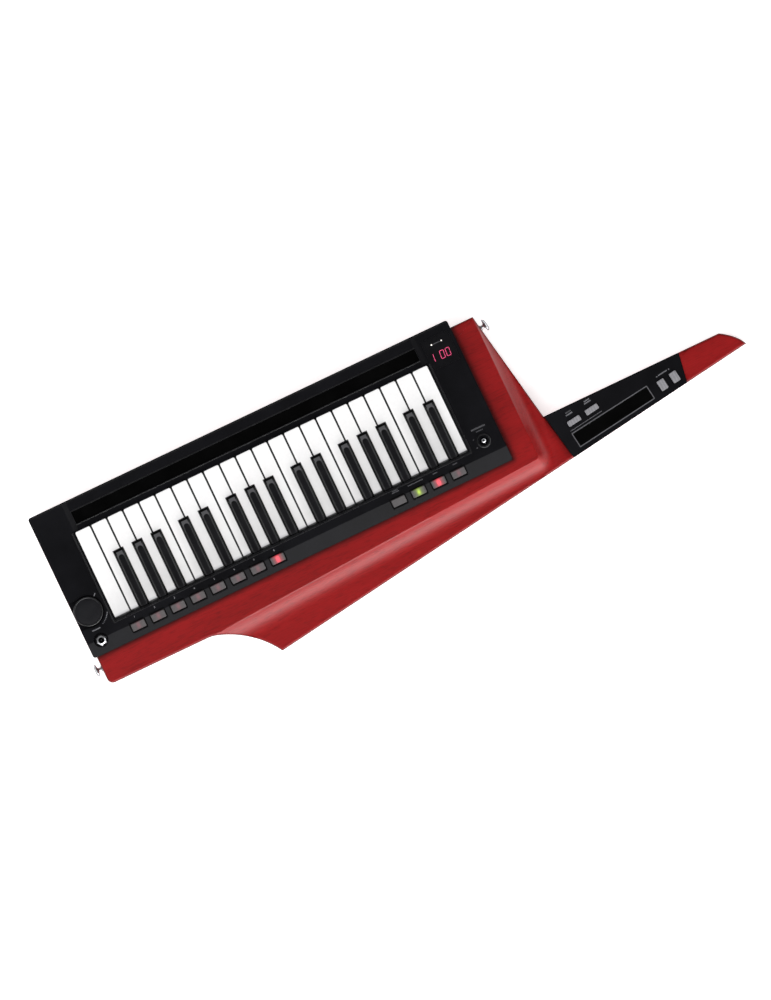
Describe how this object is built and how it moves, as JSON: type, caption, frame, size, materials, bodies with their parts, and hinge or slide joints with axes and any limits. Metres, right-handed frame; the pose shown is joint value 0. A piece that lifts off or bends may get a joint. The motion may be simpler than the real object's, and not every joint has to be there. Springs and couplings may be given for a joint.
{
  "type": "keytar",
  "caption": "Shoulder keyboard with a red wooden body and slanting neck, a black front case with small hinged keys, touch ribbons, push buttons, a knob and a lever.",
  "frame": {"origin": "under the middle of the bounding box, on the flat back", "axes": "+X along the body towards the neck's tip, +Y towards the case's far edge with the long ribbon, +Z out of the front"},
  "size_m": [0.8468, 0.2648, 0.07],
  "materials": {
    "red_lacquered_wood": "gloss",
    "black_case_plastic": "satin",
    "ribbon_sheet": "matt",
    "matt_black_knob": "matt",
    "bright_metal": "polished",
    "grey_rubber": "translucent",
    "white_key_plastic": "gloss",
    "black_key_plastic": "satin"
  },
  "bodies": {
    "body": {"wood_body": "red_lacquered_wood", "front_case": "black_case_plastic", "rear_tray": "black_case_plastic", "long_ribbon": "ribbon_sheet", "neck_cover": "black_case_plastic"},
    "volume_knob": {"volume_knob": "matt_black_knob"},
    "octave_lever": {"octave_lever": "bright_metal"},
    "neck_mode_button_1": {"neck_mode_button_1": "grey_rubber"},
    "neck_mode_button_2": {"neck_mode_button_2": "grey_rubber"},
    "neck_value_button_1": {"neck_value_button_1": "grey_rubber"},
    "neck_value_button_2": {"neck_value_button_2": "grey_rubber"},
    "favorite_button_1": {"favorite_button_1": "grey_rubber"},
    "favorite_button_2": {"favorite_button_2": "grey_rubber"},
    "favorite_button_3": {"favorite_button_3": "grey_rubber"},
    "favorite_button_4": {"favorite_button_4": "grey_rubber"},
    "favorite_button_5": {"favorite_button_5": "grey_rubber"},
    "favorite_button_6": {"favorite_button_6": "grey_rubber"},
    "favorite_button_7": {"favorite_button_7": "grey_rubber"},
    "favorite_button_8": {"favorite_button_8": "grey_rubber"},
    "function_button_1": {"function_button_1": "grey_rubber"},
    "function_button_2": {"function_button_2": "grey_rubber"},
    "function_button_3": {"function_button_3": "grey_rubber"},
    "function_button_4": {"function_button_4": "grey_rubber"},
    "white_key_01": {"white_key_01": "white_key_plastic"},
    "white_key_02": {"white_key_02": "white_key_plastic"},
    "white_key_03": {"white_key_03": "white_key_plastic"},
    "white_key_04": {"white_key_04": "white_key_plastic"},
    "white_key_05": {"white_key_05": "white_key_plastic"},
    "white_key_06": {"white_key_06": "white_key_plastic"},
    "white_key_07": {"white_key_07": "white_key_plastic"},
    "white_key_08": {"white_key_08": "white_key_plastic"},
    "white_key_09": {"white_key_09": "white_key_plastic"},
    "white_key_10": {"white_key_10": "white_key_plastic"},
    "white_key_11": {"white_key_11": "white_key_plastic"},
    "white_key_12": {"white_key_12": "white_key_plastic"},
    "white_key_13": {"white_key_13": "white_key_plastic"},
    "white_key_14": {"white_key_14": "white_key_plastic"},
    "white_key_15": {"white_key_15": "white_key_plastic"},
    "white_key_16": {"white_key_16": "white_key_plastic"},
    "white_key_17": {"white_key_17": "white_key_plastic"},
    "white_key_18": {"white_key_18": "white_key_plastic"},
    "white_key_19": {"white_key_19": "white_key_plastic"},
    "white_key_20": {"white_key_20": "white_key_plastic"},
    "white_key_21": {"white_key_21": "white_key_plastic"},
    "white_key_22": {"white_key_22": "white_key_plastic"},
    "black_key_01": {"black_key_01": "black_key_plastic"},
    "black_key_02": {"black_key_02": "black_key_plastic"},
    "black_key_03": {"black_key_03": "black_key_plastic"},
    "black_key_04": {"black_key_04": "black_key_plastic"},
    "black_key_05": {"black_key_05": "black_key_plastic"},
    "black_key_06": {"black_key_06": "black_key_plastic"},
    "black_key_07": {"black_key_07": "black_key_plastic"},
    "black_key_08": {"black_key_08": "black_key_plastic"},
    "black_key_09": {"black_key_09": "black_key_plastic"},
    "black_key_10": {"black_key_10": "black_key_plastic"},
    "black_key_11": {"black_key_11": "black_key_plastic"},
    "black_key_12": {"black_key_12": "black_key_plastic"},
    "black_key_13": {"black_key_13": "black_key_plastic"},
    "black_key_14": {"black_key_14": "black_key_plastic"},
    "black_key_15": {"black_key_15": "black_key_plastic"}
  },
  "joints": [
    {"name": "volume_knob_turn", "type": "hinge", "parent": "body", "child": "volume_knob", "pos_m": [-0.40015, 0.0054, 0.0545], "axis": [0, 0, 1], "range_deg": [-150, 150]},
    {"name": "octave_lever_tilt", "type": "hinge", "parent": "body", "child": "octave_lever", "pos_m": [0.09925, -0.0126, 0.0515], "axis": [1, 0, 0], "range_deg": [-12, 12], "stiffness_Nm_per_rad": 0.15},
    {"name": "neck_mode_button_1_press", "type": "slide", "parent": "body", "child": "neck_mode_button_1", "axis": [0, 0, -1], "range_m": [0, 0.0008], "stiffness_N_per_m": 500, "springref_m": -0.001},
    {"name": "neck_mode_button_2_press", "type": "slide", "parent": "body", "child": "neck_mode_button_2", "axis": [0, 0, -1], "range_m": [0, 0.0008], "stiffness_N_per_m": 500, "springref_m": -0.001},
    {"name": "neck_value_button_1_press", "type": "slide", "parent": "body", "child": "neck_value_button_1", "axis": [0, 0, -1], "range_m": [0, 0.0008], "stiffness_N_per_m": 500, "springref_m": -0.001},
    {"name": "neck_value_button_2_press", "type": "slide", "parent": "body", "child": "neck_value_button_2", "axis": [0, 0, -1], "range_m": [0, 0.0008], "stiffness_N_per_m": 500, "springref_m": -0.001},
    {"name": "favorite_button_8_press", "type": "slide", "parent": "body", "child": "favorite_button_8", "axis": [0, 0.4177, -0.9086], "range_m": [0, 0.0008], "stiffness_N_per_m": 500, "springref_m": -0.001},
    {"name": "function_button_1_press", "type": "slide", "parent": "body", "child": "function_button_1", "axis": [0, 0.4177, -0.9086], "range_m": [0, 0.0008], "stiffness_N_per_m": 500, "springref_m": -0.001},
    {"name": "white_key_01_press", "type": "hinge", "parent": "body", "child": "white_key_01", "pos_m": [-0.41755, -0.0224, 0.05], "axis": [-1, 0, 0], "range_deg": [0, 2.9], "stiffness_Nm_per_rad": 0.3, "springref_deg": -8.59},
    {"name": "black_key_01_press", "type": "hinge", "parent": "body", "child": "black_key_01", "pos_m": [-0.41755, -0.0224, 0.05], "axis": [-1, 0, 0], "range_deg": [0, 3.5], "stiffness_Nm_per_rad": 0.25, "springref_deg": -8.59},
    {"name": "favorite_button_1_press", "type": "slide", "parent": "body", "child": "favorite_button_1", "axis": [0, 0.4177, -0.9086], "range_m": [0, 0.0008], "stiffness_N_per_m": 500, "springref_m": -0.001},
    {"name": "favorite_button_2_press", "type": "slide", "parent": "body", "child": "favorite_button_2", "axis": [0, 0.4177, -0.9086], "range_m": [0, 0.0008], "stiffness_N_per_m": 500, "springref_m": -0.001},
    {"name": "favorite_button_3_press", "type": "slide", "parent": "body", "child": "favorite_button_3", "axis": [0, 0.4177, -0.9086], "range_m": [0, 0.0008], "stiffness_N_per_m": 500, "springref_m": -0.001},
    {"name": "favorite_button_4_press", "type": "slide", "parent": "body", "child": "favorite_button_4", "axis": [0, 0.4177, -0.9086], "range_m": [0, 0.0008], "stiffness_N_per_m": 500, "springref_m": -0.001},
    {"name": "favorite_button_5_press", "type": "slide", "parent": "body", "child": "favorite_button_5", "axis": [0, 0.4177, -0.9086], "range_m": [0, 0.0008], "stiffness_N_per_m": 500, "springref_m": -0.001},
    {"name": "favorite_button_6_press", "type": "slide", "parent": "body", "child": "favorite_button_6", "axis": [0, 0.4177, -0.9086], "range_m": [0, 0.0008], "stiffness_N_per_m": 500, "springref_m": -0.001},
    {"name": "favorite_button_7_press", "type": "slide", "parent": "body", "child": "favorite_button_7", "axis": [0, 0.4177, -0.9086], "range_m": [0, 0.0008], "stiffness_N_per_m": 500, "springref_m": -0.001},
    {"name": "function_button_2_press", "type": "slide", "parent": "body", "child": "function_button_2", "axis": [0, 0.4177, -0.9086], "range_m": [0, 0.0008], "stiffness_N_per_m": 500, "springref_m": -0.001},
    {"name": "function_button_3_press", "type": "slide", "parent": "body", "child": "function_button_3", "axis": [0, 0.4177, -0.9086], "range_m": [0, 0.0008], "stiffness_N_per_m": 500, "springref_m": -0.001},
    {"name": "function_button_4_press", "type": "slide", "parent": "body", "child": "function_button_4", "axis": [0, 0.4177, -0.9086], "range_m": [0, 0.0008], "stiffness_N_per_m": 500, "springref_m": -0.001},
    {"name": "white_key_02_press", "type": "hinge", "parent": "body", "child": "white_key_02", "pos_m": [-0.41755, -0.0224, 0.05], "axis": [-1, 0, 0], "range_deg": [0, 2.9], "stiffness_Nm_per_rad": 0.3, "springref_deg": -8.59},
    {"name": "white_key_03_press", "type": "hinge", "parent": "body", "child": "white_key_03", "pos_m": [-0.41755, -0.0224, 0.05], "axis": [-1, 0, 0], "range_deg": [0, 2.9], "stiffness_Nm_per_rad": 0.3, "springref_deg": -8.59},
    {"name": "white_key_04_press", "type": "hinge", "parent": "body", "child": "white_key_04", "pos_m": [-0.41755, -0.0224, 0.05], "axis": [-1, 0, 0], "range_deg": [0, 2.9], "stiffness_Nm_per_rad": 0.3, "springref_deg": -8.59},
    {"name": "white_key_05_press", "type": "hinge", "parent": "body", "child": "white_key_05", "pos_m": [-0.41755, -0.0224, 0.05], "axis": [-1, 0, 0], "range_deg": [0, 2.9], "stiffness_Nm_per_rad": 0.3, "springref_deg": -8.59},
    {"name": "white_key_06_press", "type": "hinge", "parent": "body", "child": "white_key_06", "pos_m": [-0.41755, -0.0224, 0.05], "axis": [-1, 0, 0], "range_deg": [0, 2.9], "stiffness_Nm_per_rad": 0.3, "springref_deg": -8.59},
    {"name": "white_key_07_press", "type": "hinge", "parent": "body", "child": "white_key_07", "pos_m": [-0.41755, -0.0224, 0.05], "axis": [-1, 0, 0], "range_deg": [0, 2.9], "stiffness_Nm_per_rad": 0.3, "springref_deg": -8.59},
    {"name": "white_key_08_press", "type": "hinge", "parent": "body", "child": "white_key_08", "pos_m": [-0.41755, -0.0224, 0.05], "axis": [-1, 0, 0], "range_deg": [0, 2.9], "stiffness_Nm_per_rad": 0.3, "springref_deg": -8.59},
    {"name": "white_key_09_press", "type": "hinge", "parent": "body", "child": "white_key_09", "pos_m": [-0.41755, -0.0224, 0.05], "axis": [-1, 0, 0], "range_deg": [0, 2.9], "stiffness_Nm_per_rad": 0.3, "springref_deg": -8.59},
    {"name": "white_key_10_press", "type": "hinge", "parent": "body", "child": "white_key_10", "pos_m": [-0.41755, -0.0224, 0.05], "axis": [-1, 0, 0], "range_deg": [0, 2.9], "stiffness_Nm_per_rad": 0.3, "springref_deg": -8.59},
    {"name": "white_key_11_press", "type": "hinge", "parent": "body", "child": "white_key_11", "pos_m": [-0.41755, -0.0224, 0.05], "axis": [-1, 0, 0], "range_deg": [0, 2.9], "stiffness_Nm_per_rad": 0.3, "springref_deg": -8.59},
    {"name": "white_key_12_press", "type": "hinge", "parent": "body", "child": "white_key_12", "pos_m": [-0.41755, -0.0224, 0.05], "axis": [-1, 0, 0], "range_deg": [0, 2.9], "stiffness_Nm_per_rad": 0.3, "springref_deg": -8.59},
    {"name": "white_key_13_press", "type": "hinge", "parent": "body", "child": "white_key_13", "pos_m": [-0.41755, -0.0224, 0.05], "axis": [-1, 0, 0], "range_deg": [0, 2.9], "stiffness_Nm_per_rad": 0.3, "springref_deg": -8.59},
    {"name": "white_key_14_press", "type": "hinge", "parent": "body", "child": "white_key_14", "pos_m": [-0.41755, -0.0224, 0.05], "axis": [-1, 0, 0], "range_deg": [0, 2.9], "stiffness_Nm_per_rad": 0.3, "springref_deg": -8.59},
    {"name": "white_key_15_press", "type": "hinge", "parent": "body", "child": "white_key_15", "pos_m": [-0.41755, -0.0224, 0.05], "axis": [-1, 0, 0], "range_deg": [0, 2.9], "stiffness_Nm_per_rad": 0.3, "springref_deg": -8.59},
    {"name": "white_key_16_press", "type": "hinge", "parent": "body", "child": "white_key_16", "pos_m": [-0.41755, -0.0224, 0.05], "axis": [-1, 0, 0], "range_deg": [0, 2.9], "stiffness_Nm_per_rad": 0.3, "springref_deg": -8.59},
    {"name": "white_key_17_press", "type": "hinge", "parent": "body", "child": "white_key_17", "pos_m": [-0.41755, -0.0224, 0.05], "axis": [-1, 0, 0], "range_deg": [0, 2.9], "stiffness_Nm_per_rad": 0.3, "springref_deg": -8.59},
    {"name": "white_key_18_press", "type": "hinge", "parent": "body", "child": "white_key_18", "pos_m": [-0.41755, -0.0224, 0.05], "axis": [-1, 0, 0], "range_deg": [0, 2.9], "stiffness_Nm_per_rad": 0.3, "springref_deg": -8.59},
    {"name": "white_key_19_press", "type": "hinge", "parent": "body", "child": "white_key_19", "pos_m": [-0.41755, -0.0224, 0.05], "axis": [-1, 0, 0], "range_deg": [0, 2.9], "stiffness_Nm_per_rad": 0.3, "springref_deg": -8.59},
    {"name": "white_key_20_press", "type": "hinge", "parent": "body", "child": "white_key_20", "pos_m": [-0.41755, -0.0224, 0.05], "axis": [-1, 0, 0], "range_deg": [0, 2.9], "stiffness_Nm_per_rad": 0.3, "springref_deg": -8.59},
    {"name": "white_key_21_press", "type": "hinge", "parent": "body", "child": "white_key_21", "pos_m": [-0.41755, -0.0224, 0.05], "axis": [-1, 0, 0], "range_deg": [0, 2.9], "stiffness_Nm_per_rad": 0.3, "springref_deg": -8.59},
    {"name": "white_key_22_press", "type": "hinge", "parent": "body", "child": "white_key_22", "pos_m": [-0.41755, -0.0224, 0.05], "axis": [-1, 0, 0], "range_deg": [0, 2.9], "stiffness_Nm_per_rad": 0.3, "springref_deg": -8.59},
    {"name": "black_key_02_press", "type": "hinge", "parent": "body", "child": "black_key_02", "pos_m": [-0.41755, -0.0224, 0.05], "axis": [-1, 0, 0], "range_deg": [0, 3.5], "stiffness_Nm_per_rad": 0.25, "springref_deg": -8.59},
    {"name": "black_key_03_press", "type": "hinge", "parent": "body", "child": "black_key_03", "pos_m": [-0.41755, -0.0224, 0.05], "axis": [-1, 0, 0], "range_deg": [0, 3.5], "stiffness_Nm_per_rad": 0.25, "springref_deg": -8.59},
    {"name": "black_key_04_press", "type": "hinge", "parent": "body", "child": "black_key_04", "pos_m": [-0.41755, -0.0224, 0.05], "axis": [-1, 0, 0], "range_deg": [0, 3.5], "stiffness_Nm_per_rad": 0.25, "springref_deg": -8.59},
    {"name": "black_key_05_press", "type": "hinge", "parent": "body", "child": "black_key_05", "pos_m": [-0.41755, -0.0224, 0.05], "axis": [-1, 0, 0], "range_deg": [0, 3.5], "stiffness_Nm_per_rad": 0.25, "springref_deg": -8.59},
    {"name": "black_key_06_press", "type": "hinge", "parent": "body", "child": "black_key_06", "pos_m": [-0.41755, -0.0224, 0.05], "axis": [-1, 0, 0], "range_deg": [0, 3.5], "stiffness_Nm_per_rad": 0.25, "springref_deg": -8.59},
    {"name": "black_key_07_press", "type": "hinge", "parent": "body", "child": "black_key_07", "pos_m": [-0.41755, -0.0224, 0.05], "axis": [-1, 0, 0], "range_deg": [0, 3.5], "stiffness_Nm_per_rad": 0.25, "springref_deg": -8.59},
    {"name": "black_key_08_press", "type": "hinge", "parent": "body", "child": "black_key_08", "pos_m": [-0.41755, -0.0224, 0.05], "axis": [-1, 0, 0], "range_deg": [0, 3.5], "stiffness_Nm_per_rad": 0.25, "springref_deg": -8.59},
    {"name": "black_key_09_press", "type": "hinge", "parent": "body", "child": "black_key_09", "pos_m": [-0.41755, -0.0224, 0.05], "axis": [-1, 0, 0], "range_deg": [0, 3.5], "stiffness_Nm_per_rad": 0.25, "springref_deg": -8.59},
    {"name": "black_key_10_press", "type": "hinge", "parent": "body", "child": "black_key_10", "pos_m": [-0.41755, -0.0224, 0.05], "axis": [-1, 0, 0], "range_deg": [0, 3.5], "stiffness_Nm_per_rad": 0.25, "springref_deg": -8.59},
    {"name": "black_key_11_press", "type": "hinge", "parent": "body", "child": "black_key_11", "pos_m": [-0.41755, -0.0224, 0.05], "axis": [-1, 0, 0], "range_deg": [0, 3.5], "stiffness_Nm_per_rad": 0.25, "springref_deg": -8.59},
    {"name": "black_key_12_press", "type": "hinge", "parent": "body", "child": "black_key_12", "pos_m": [-0.41755, -0.0224, 0.05], "axis": [-1, 0, 0], "range_deg": [0, 3.5], "stiffness_Nm_per_rad": 0.25, "springref_deg": -8.59},
    {"name": "black_key_13_press", "type": "hinge", "parent": "body", "child": "black_key_13", "pos_m": [-0.41755, -0.0224, 0.05], "axis": [-1, 0, 0], "range_deg": [0, 3.5], "stiffness_Nm_per_rad": 0.25, "springref_deg": -8.59},
    {"name": "black_key_14_press", "type": "hinge", "parent": "body", "child": "black_key_14", "pos_m": [-0.41755, -0.0224, 0.05], "axis": [-1, 0, 0], "range_deg": [0, 3.5], "stiffness_Nm_per_rad": 0.25, "springref_deg": -8.59},
    {"name": "black_key_15_press", "type": "hinge", "parent": "body", "child": "black_key_15", "pos_m": [-0.41755, -0.0224, 0.05], "axis": [-1, 0, 0], "range_deg": [0, 3.5], "stiffness_Nm_per_rad": 0.25, "springref_deg": -8.59}
  ]
}
